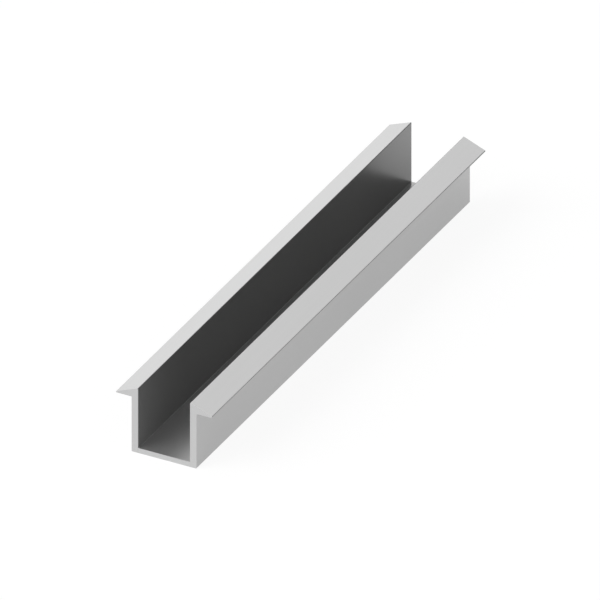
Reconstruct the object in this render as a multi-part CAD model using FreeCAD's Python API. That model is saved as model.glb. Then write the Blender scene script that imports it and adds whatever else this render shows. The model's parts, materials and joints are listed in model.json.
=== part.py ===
# Flanged channel section: an extruded aluminium U with a wing along each lip.
# The U drops into a groove cut in a panel, and the two wings rest on the panel's face.
# Each wing tapers from the lip of the U out to a thin, rounded nose, so that its
# top face slopes away from the opening and its underside stays flat.
# The section is one solid, sawn square at both ends.
#
# Frame: +X across the section, +Y along the length, +Z up out of the opening.
# The origin is under the middle of the section, on its base, at half the length.

import FreeCAD, Part
import math
import os

from FreeCAD import Vector

# Sizes in millimetres.
length = 160.0
body_width = 20.0          # across the outside of the two walls
body_depth = 17.4          # base to the wings' undersides, the part that sits in the groove
wall = 2.0                 # thickness of each upright wall
floor = 1.6                # thickness of the web that joins them
wing_reach = 4.8           # how far a wing stands out of its wall
wing_rise = 3.1            # a wing's underside up to the lip, before the lip is rounded
wing_nose = 0.4            # depth of a wing's outer edge
base_radius = 0.25         # outer corners of the U
root_radius = 0.1          # inner corners of the U
lip_radius = 0.2           # edge of the opening
underside_radius = 0.15    # corner between a wall and the wing above it
nose_radius = 0.2          # the two corners of a wing's outer edge


def half_section():
    """The right half's corners from the base round to the web's top: x, z and radius."""
    outer = body_width / 2
    inner = outer - wall
    tip = outer + wing_reach
    return [
        (outer, 0.0, base_radius),
        (outer, body_depth, underside_radius),
        (tip, body_depth, nose_radius),
        (tip, body_depth + wing_nose, nose_radius),
        (inner, body_depth + wing_rise, lip_radius),
        (inner, floor, root_radius),
    ]


def mirrored(corners):
    """The same corners on the left, in the order that carries the outline on."""
    return [(-x, z, radius) for x, z, radius in reversed(corners)]


def corner_arc(before, corner, after, radius):
    """The arc that rounds a corner, as its start, middle and end."""
    back = (before - corner).normalize()
    on = (after - corner).normalize()
    half_angle = back.getAngle(on) / 2
    run = radius / math.tan(half_angle)
    to_middle = radius / math.sin(half_angle) - radius
    inward = (back + on).normalize()
    return corner + back * run, corner + inward * to_middle, corner + on * run


def rounded_outline(corners, y):
    """A closed wire of straight runs and tangent arcs in the plane at y."""
    points = [Vector(x, y, z) for x, z, radius in corners]
    count = len(points)
    arcs = []
    for i, (x, z, radius) in enumerate(corners):
        arcs.append(corner_arc(points[i - 1], points[i], points[(i + 1) % count], radius))
    edges = []
    for i, (start, middle, end) in enumerate(arcs):
        next_start = arcs[(i + 1) % count][0]
        edges.append(Part.Arc(start, middle, end).toShape())
        edges.append(Part.LineSegment(end, next_start).toShape())
    return Part.Wire(edges)


def channel_section():
    """The whole bar: its section drawn at the near end and extruded to the far one."""
    right = half_section()
    outline = rounded_outline(right + mirrored(right), -length / 2)
    return Part.Face(outline).extrude(Vector(0, length, 0))


os.makedirs("parts", exist_ok=True)
bar = channel_section()
bar.exportStep("parts/channel_section.step")
print("channel_section", "valid", bar.isValid(), "volume mm3", round(bar.Volume, 1))
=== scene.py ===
import json
import math

import bpy
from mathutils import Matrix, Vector


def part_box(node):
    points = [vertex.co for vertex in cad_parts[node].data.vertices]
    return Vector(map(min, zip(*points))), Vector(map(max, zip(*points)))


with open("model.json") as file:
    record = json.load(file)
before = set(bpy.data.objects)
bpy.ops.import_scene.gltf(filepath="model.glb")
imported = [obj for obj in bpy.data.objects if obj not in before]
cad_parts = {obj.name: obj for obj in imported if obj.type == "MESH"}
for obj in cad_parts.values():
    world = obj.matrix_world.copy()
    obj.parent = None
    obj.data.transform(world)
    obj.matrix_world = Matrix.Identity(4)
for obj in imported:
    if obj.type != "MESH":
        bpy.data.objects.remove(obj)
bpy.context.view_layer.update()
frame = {"nodes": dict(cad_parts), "record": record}
bar = frame["nodes"]["channel_section"]
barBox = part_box("channel_section")
mountAt = {mount["name"]: Vector(mount["pos_m"]) for mount in frame["record"]["mounts"]}
bpy.ops.object.select_all(action="DESELECT")
print("frame loaded:", len(frame["nodes"]), "node")

# camera: a parallel view from the front right, looking down the length of the bar
cameraView = {
    "azimuth": 27.77,                  # degrees; 0 looks along +Y
    "elevation": 30.87,
    "imageSize": 600,                  # pixels across the square picture
    "pixelsPerMetre": 3667.0,
    "originPixel": (300.75, 326.82),   # where the middle of the base shows
    "distance": 0.6,
    "clip": (0.01, 10.0),
}


def addCamera(view):
    azimuth = math.radians(view["azimuth"])
    elevation = math.radians(view["elevation"])
    right = Vector((math.cos(azimuth), math.sin(azimuth), 0))
    level = Vector((math.sin(azimuth), -math.cos(azimuth), 0))
    back = level * math.cos(elevation) + Vector((0, 0, math.sin(elevation)))
    up = back.cross(right)
    across = (view["imageSize"] / 2 - view["originPixel"][0]) / view["pixelsPerMetre"]
    upward = (view["originPixel"][1] - view["imageSize"] / 2) / view["pixelsPerMetre"]
    target = right * across + up * upward
    bpy.ops.object.camera_add(location=target + back * view["distance"])
    camera = bpy.context.active_object
    camera.name = "photoCamera"
    camera.rotation_euler = back.to_track_quat("Z", "Y").to_euler()
    camera.data.type = "ORTHO"
    camera.data.ortho_scale = view["imageSize"] / view["pixelsPerMetre"]
    camera.data.clip_start, camera.data.clip_end = view["clip"]
    bpy.context.scene.camera = camera


addCamera(cameraView)
bpy.context.scene.view_settings.view_transform = "Standard"
print("camera placed")


# small helpers for the node trees
def addNode(tree, kind, **settings):
    node = tree.nodes.new(kind)
    for name, value in settings.items():
        setattr(node, name, value)
    return node


def fill(tree, socket, value):
    # a value is either another node's output or a constant
    if isinstance(value, bpy.types.NodeSocket):
        tree.links.new(value, socket)
    else:
        socket.default_value = value


def calculate(tree, operation, *values):
    node = addNode(tree, "ShaderNodeMath", operation=operation)
    for socket, value in zip(node.inputs, values):
        fill(tree, socket, value)
    return node.outputs[0]


def both(tree, first, second):
    # 1 where two masks are both 1
    return calculate(tree, "MULTIPLY", first, second)


def blend(tree, share, first, second):
    # share is how much of the result comes from the second
    return calculate(tree, "MULTIPLY_ADD", second, share, calculate(tree, "MULTIPLY", first, 1 - share))


def rampBetween(tree, value, low, high, toLow=0.0, toHigh=1.0):
    node = addNode(tree, "ShaderNodeMapRange", interpolation_type="SMOOTHSTEP")
    numbers = {"Value": value, "From Min": low, "From Max": high, "To Min": toLow, "To Max": toHigh}
    for name, number in numbers.items():
        fill(tree, node.inputs[name], number)
    return node.outputs["Result"]


def choose(tree, mask, whereOff, whereOn):
    # one value where a mask is 0 and the other where it is 1
    return rampBetween(tree, mask, 0.0, 1.0, whereOff, whereOn)


def distanceFrom(tree, place, point):
    node = addNode(tree, "ShaderNodeVectorMath", operation="DISTANCE")
    tree.links.new(place, node.inputs[0])
    node.inputs[1].default_value = point
    return node.outputs["Value"]


def noiseAt(tree, place, size, detail=2.0, roughness=0.5):
    # size is the grain's width along X, Y and Z in metres
    mapping = addNode(tree, "ShaderNodeMapping")
    tree.links.new(place, mapping.inputs["Vector"])
    mapping.inputs["Scale"].default_value = [1 / width for width in size]
    noise = addNode(tree, "ShaderNodeTexNoise")
    tree.links.new(mapping.outputs["Vector"], noise.inputs["Vector"])
    noise.inputs["Scale"].default_value = 1.0
    noise.inputs["Detail"].default_value = detail
    noise.inputs["Roughness"].default_value = roughness
    return noise.outputs["Fac"]


# satin aluminium: die lines along the length, saw marks on the ends, painted shade inside the channel
# and along the wings' outer edges, ends lightened partly by painted light
satinAluminium = {
    "outerTone": 0.56,
    "endToneWithPaintedLight": 0.68,             # freshly sawn metal, lightened further with painted light
    "innerPaintedShade": 0.214,
    "webPaintedShade": 0.36,             # painted shade on the channel's floor
    "nosePaintedShade": 0.47,            # painted shade: a darker line along each wing's outer edge
    "innerMatt": 0.35,           # share of the inside that scatters light like a dull skin
    "roughness": 0.30,
    "innerRoughness": 0.29,
    "glossSwing": 0.08,          # how far the lines change the roughness
    "wall": 0.002,
    "edge": 0.00001,             # how close to a face a mask switches over
    "lipWidth": 0.00023,         # how far the painted shade of the inside laps over the lips
    "noseWidth": 0.00014,
    "dieLine": {"size": (0.0004, 0.09, 0.0004), "detail": 3.0, "roughness": 0.6},
    "hairline": {"size": (0.00013, 0.03, 0.00013), "roughness": 0.7},
    "hairlineShare": 0.5,        # of the lines along the length
    "lineDepth": 0.10,           # share of the tone that the lines change
    "cloud": {"size": (0.012, 0.04, 0.012)},
    "cloudDepth": 0.05,
    "sawCentre": (0.07, 0.0, 0.11),
    "sawPitch": 0.0006,
    "sawSwing": 0.25,
    "sawWobble": {"size": (0.004, 0.004, 0.004)},
    "wobblePitches": 2,          # how far the arcs wander
    "sawHairlineShare": 0.3,     # of the relief on the ends
    "sawDepth": 0.08,
    "bumpHeight": 0.000006,
    "bumpStrength": 0.5,
    "innerBump": 0.12,
}


def findFaces(tree, split, look):
    # masks for the sawn ends, the inside of the channel, its floor and the wings' outer edges
    acrossBar = calculate(tree, "ABSOLUTE", split.outputs["X"])
    alongBar = calculate(tree, "ABSOLUTE", split.outputs["Y"])
    height = split.outputs["Z"]
    innerSide = mountAt["right_wall"].x - look["wall"]
    webTop = mountAt["channel_floor"].z
    tip = barBox[1].x
    onEnd = calculate(tree, "GREATER_THAN", alongBar, barBox[1].y - look["edge"])
    offEnd = calculate(tree, "SUBTRACT", 1.0, onEnd)
    # the painted shade of the inside laps over the lips
    between = calculate(tree, "LESS_THAN", acrossBar, innerSide + look["lipWidth"])
    aboveWeb = calculate(tree, "GREATER_THAN", height, webTop - look["edge"])
    inside = both(tree, both(tree, between, aboveWeb), offEnd)
    nearWeb = calculate(tree, "LESS_THAN", height, webTop + look["edge"])
    onWeb = both(tree, inside, nearWeb)
    nearTip = rampBetween(tree, acrossBar, tip - look["noseWidth"], tip - look["noseWidth"] / 2)
    onNose = both(tree, nearTip, offEnd)
    return onEnd, offEnd, inside, onWeb, onNose


def drawSawArcs(tree, place, split, look):
    # arcs round the saw's axis, the same on both ends, since only X and Z count
    onFace = addNode(tree, "ShaderNodeCombineXYZ")
    tree.links.new(split.outputs["X"], onFace.inputs["X"])
    tree.links.new(split.outputs["Z"], onFace.inputs["Z"])
    fromSaw = distanceFrom(tree, onFace.outputs[0], look["sawCentre"])
    wobble = noiseAt(tree, place, **look["sawWobble"])
    reach = calculate(tree, "MULTIPLY_ADD", wobble, look["sawPitch"] * look["wobblePitches"], fromSaw)
    turns = calculate(tree, "SINE", calculate(tree, "MULTIPLY", reach, 2 * math.pi / look["sawPitch"]))
    return calculate(tree, "MULTIPLY_ADD", turns, look["sawSwing"], 0.5)


def makeSatinAluminium(look):
    material = bpy.data.materials.new("satinAluminium")
    material.use_nodes = True
    tree = material.node_tree
    shader = tree.nodes["Principled BSDF"]
    place = addNode(tree, "ShaderNodeTexCoord").outputs["Object"]
    split = addNode(tree, "ShaderNodeSeparateXYZ")
    tree.links.new(place, split.inputs[0])
    onEnd, offEnd, inside, onWeb, onNose = findFaces(tree, split, look)

    # one relief for the long faces and one for the ends, both about 0.5
    dieLines = noiseAt(tree, place, **look["dieLine"])
    hairlines = noiseAt(tree, place, **look["hairline"])
    lines = blend(tree, look["hairlineShare"], dieLines, hairlines)
    sawMarks = blend(tree, look["sawHairlineShare"], drawSawArcs(tree, place, split, look), hairlines)
    longRelief = calculate(tree, "MULTIPLY", lines, offEnd)
    relief = calculate(tree, "MULTIPLY_ADD", sawMarks, onEnd, longRelief)
    swing = calculate(tree, "SUBTRACT", relief, 0.5)

    # shade is near 1 and multiplies the tone
    depth = choose(tree, onEnd, look["lineDepth"], look["sawDepth"])
    shade = calculate(tree, "MULTIPLY_ADD", swing, depth, 1.0)
    cloudSwing = calculate(tree, "SUBTRACT", noiseAt(tree, place, **look["cloud"]), 0.5)
    shade = calculate(tree, "MULTIPLY_ADD", cloudSwing, look["cloudDepth"], shade)

    # painted shade: the inside of the channel and its floor are darker than the outside
    tone = choose(tree, inside, look["outerTone"], look["innerPaintedShade"])
    tone = calculate(tree, "MULTIPLY_ADD", onWeb, look["webPaintedShade"] - look["innerPaintedShade"], tone)
    # ends lighter, partly bare sawn metal and partly painted light
    tone = calculate(tree, "MULTIPLY_ADD", onEnd, look["endToneWithPaintedLight"] - look["outerTone"], tone)
    # painted shade along each wing's outer edge
    toNose = calculate(tree, "SUBTRACT", look["nosePaintedShade"], tone)
    tone = calculate(tree, "MULTIPLY_ADD", onNose, toNose, tone)
    tone = calculate(tree, "MULTIPLY", tone, shade)
    grey = addNode(tree, "ShaderNodeCombineColor")
    for socket in grey.inputs:
        tree.links.new(tone, socket)
    tree.links.new(grey.outputs[0], shader.inputs["Base Color"])

    gloss = choose(tree, inside, look["roughness"], look["innerRoughness"])
    gloss = calculate(tree, "MULTIPLY_ADD", swing, look["glossSwing"], gloss)
    tree.links.new(gloss, shader.inputs["Roughness"])
    bareMetal = choose(tree, inside, 1.0, 1.0 - look["innerMatt"])
    tree.links.new(bareMetal, shader.inputs["Metallic"])

    bump = addNode(tree, "ShaderNodeBump")
    bump.inputs["Distance"].default_value = look["bumpHeight"]
    strength = choose(tree, inside, look["bumpStrength"], look["innerBump"])
    tree.links.new(strength, bump.inputs["Strength"])
    tree.links.new(relief, bump.inputs["Height"])
    tree.links.new(bump.outputs["Normal"], shader.inputs["Normal"])
    return material


bar.data.materials.clear()
bar.data.materials.append(makeSatinAluminium(satinAluminium))
print("bar finished in satin aluminium")


def seenInMirrors(tree, ray):
    return calculate(tree, "MAXIMUM", ray.outputs["Is Glossy Ray"], ray.outputs["Is Transmission Ray"])


# floor: white to the camera, apart from the bar's shadow, and an even grey to the metal, apart from a
# painted pool of light behind the far end
paleFloor = {
    "size": 6.0,
    "tone": 0.8,
    "glow": 0.4,                 # evens out what the camera and the metal see of it
    "cameraWhite": 0.8,          # share of plain white in what the camera sees
    "mirrorShare": 0.6,          # share of the even grey in what the metal mirrors
    "mirrorTone": 0.705,
    "paintedPoolGain": 0.68,           # a painted pool of light behind the far end, seen only in mirrors
    "paintedPoolAt": (-0.006, 0.122, 0.0),
    "paintedPoolReach": (0.010, 0.042),
}


def addFloor(look):
    bpy.ops.mesh.primitive_plane_add(size=look["size"])
    floor = bpy.context.active_object
    floor.name = "studioFloor"
    material = bpy.data.materials.new("paleFloor")
    material.use_nodes = True
    tree = material.node_tree
    tree.nodes.remove(tree.nodes["Principled BSDF"])
    ray = addNode(tree, "ShaderNodeLightPath")
    toCamera = ray.outputs["Is Camera Ray"]
    mirrored = seenInMirrors(tree, ray)

    # the lit floor, with a glow that only the camera and mirrors see
    matt = addNode(tree, "ShaderNodeBsdfDiffuse")
    matt.inputs["Color"].default_value = (look["tone"],) * 3 + (1,)
    glow = addNode(tree, "ShaderNodeEmission")
    seen = calculate(tree, "MAXIMUM", toCamera, mirrored)
    fill(tree, glow.inputs["Strength"], calculate(tree, "MULTIPLY", seen, look["glow"]))
    lit = addNode(tree, "ShaderNodeAddShader")
    tree.links.new(matt.outputs[0], lit.inputs[0])
    tree.links.new(glow.outputs[0], lit.inputs[1])

    # plain white for the camera, grey with its painted pool of light for mirrors
    place = addNode(tree, "ShaderNodeTexCoord").outputs["Object"]
    fromPaintedPool = distanceFrom(tree, place, look["paintedPoolAt"])
    near, far = look["paintedPoolReach"]
    brightest = look["mirrorTone"] + look["paintedPoolGain"]
    mirrorTone = rampBetween(tree, fromPaintedPool, near, far, brightest, look["mirrorTone"])
    even = addNode(tree, "ShaderNodeEmission")
    fill(tree, even.inputs["Strength"], choose(tree, mirrored, 1.0, mirrorTone))

    share = calculate(tree, "MULTIPLY", toCamera, look["cameraWhite"])
    share = calculate(tree, "MULTIPLY_ADD", mirrored, look["mirrorShare"], share)
    mix = addNode(tree, "ShaderNodeMixShader")
    tree.links.new(share, mix.inputs[0])
    tree.links.new(lit.outputs[0], mix.inputs[1])
    tree.links.new(even.outputs[0], mix.inputs[2])
    tree.links.new(mix.outputs[0], tree.nodes["Material Output"].inputs["Surface"])
    floor.data.materials.append(material)


addFloor(paleFloor)
print("floor laid")

# sky: white to the camera, with a dark card and a bright card that only mirrors see
studioSky = {
    "onFloor": 0.5,              # how strongly it lights matt surfaces
    "inMetal": 0.69,
    "flagAt": (45, 24),          # the dark card's azimuth from +Y and its height, in degrees
    "flagReach": (18, 50),       # degrees from its middle to where it starts and stops fading
    "flagDepth": 0.75,
    "cardAt": (-21, 38),         # the bright card, behind the bar
    "cardReach": (26, 44),
    "cardGain": 0.9,
}


def nearDirection(tree, direction, towards, reach):
    # 1 close to a direction, fading to 0 at the outer reach
    azimuth, elevation = (math.radians(angle) for angle in towards)
    level = Vector((math.sin(azimuth), math.cos(azimuth), 0)) * math.cos(elevation)
    dot = addNode(tree, "ShaderNodeVectorMath", operation="DOT_PRODUCT")
    tree.links.new(direction, dot.inputs[0])
    dot.inputs[1].default_value = level + Vector((0, 0, math.sin(elevation)))
    inner, outer = (math.cos(math.radians(angle)) for angle in reach)
    return rampBetween(tree, dot.outputs["Value"], outer, inner)


def addSky(look):
    world = bpy.data.worlds.new("studioSky")
    bpy.context.scene.world = world
    world.use_nodes = True
    tree = world.node_tree
    direction = addNode(tree, "ShaderNodeTexCoord").outputs["Generated"]
    flag = nearDirection(tree, direction, look["flagAt"], look["flagReach"])
    card = nearDirection(tree, direction, look["cardAt"], look["cardReach"])
    bright = calculate(tree, "MULTIPLY_ADD", card, look["cardGain"], look["inMetal"])
    kept = calculate(tree, "MULTIPLY_ADD", flag, -look["flagDepth"], 1.0)
    inMetal = calculate(tree, "MULTIPLY", bright, kept)
    ray = addNode(tree, "ShaderNodeLightPath")
    strength = choose(tree, seenInMirrors(tree, ray), look["onFloor"], inMetal)
    strength = calculate(tree, "MAXIMUM", strength, ray.outputs["Is Camera Ray"])
    background = tree.nodes["Background"]
    background.inputs["Color"].default_value = (1, 1, 1, 1)
    tree.links.new(strength, background.inputs["Strength"])


addSky(studioSky)
print("sky hung")

# soft key: a wide lamp from the front left, for the soft shadow
softKey = {
    "strength": 1.6,
    "angle": 50,                 # degrees across
    "comesFrom": (-0.5, -0.5, 0.5),
}


def addSoftKey(look):
    toLamp = Vector(look["comesFrom"]).normalized()
    bpy.ops.object.light_add(type="SUN", location=toLamp)
    lamp = bpy.context.active_object
    lamp.name = "softKey"
    lamp.data.energy = look["strength"]
    lamp.data.angle = math.radians(look["angle"])
    lamp.rotation_euler = toLamp.to_track_quat("Z", "Y").to_euler()


# low strip: a long lamp just over the floor that shines in at the near end
lowStrip = {
    "at": (0.49, -0.42, 0.012),
    "aim": (0.0, -0.08, 0.012),
    "size": (0.55, 0.018),
    "power": 1.65,
}


def addLowStrip(look):
    bpy.ops.object.light_add(type="AREA", location=look["at"])
    strip = bpy.context.active_object
    strip.name = "lowStrip"
    strip.data.shape = "RECTANGLE"
    strip.data.size, strip.data.size_y = look["size"]
    strip.data.energy = look["power"]
    backwards = Vector(look["at"]) - Vector(look["aim"])
    strip.rotation_euler = backwards.to_track_quat("Z", "Y").to_euler()


addSoftKey(softKey)
addLowStrip(lowStrip)
print("lamps lit")
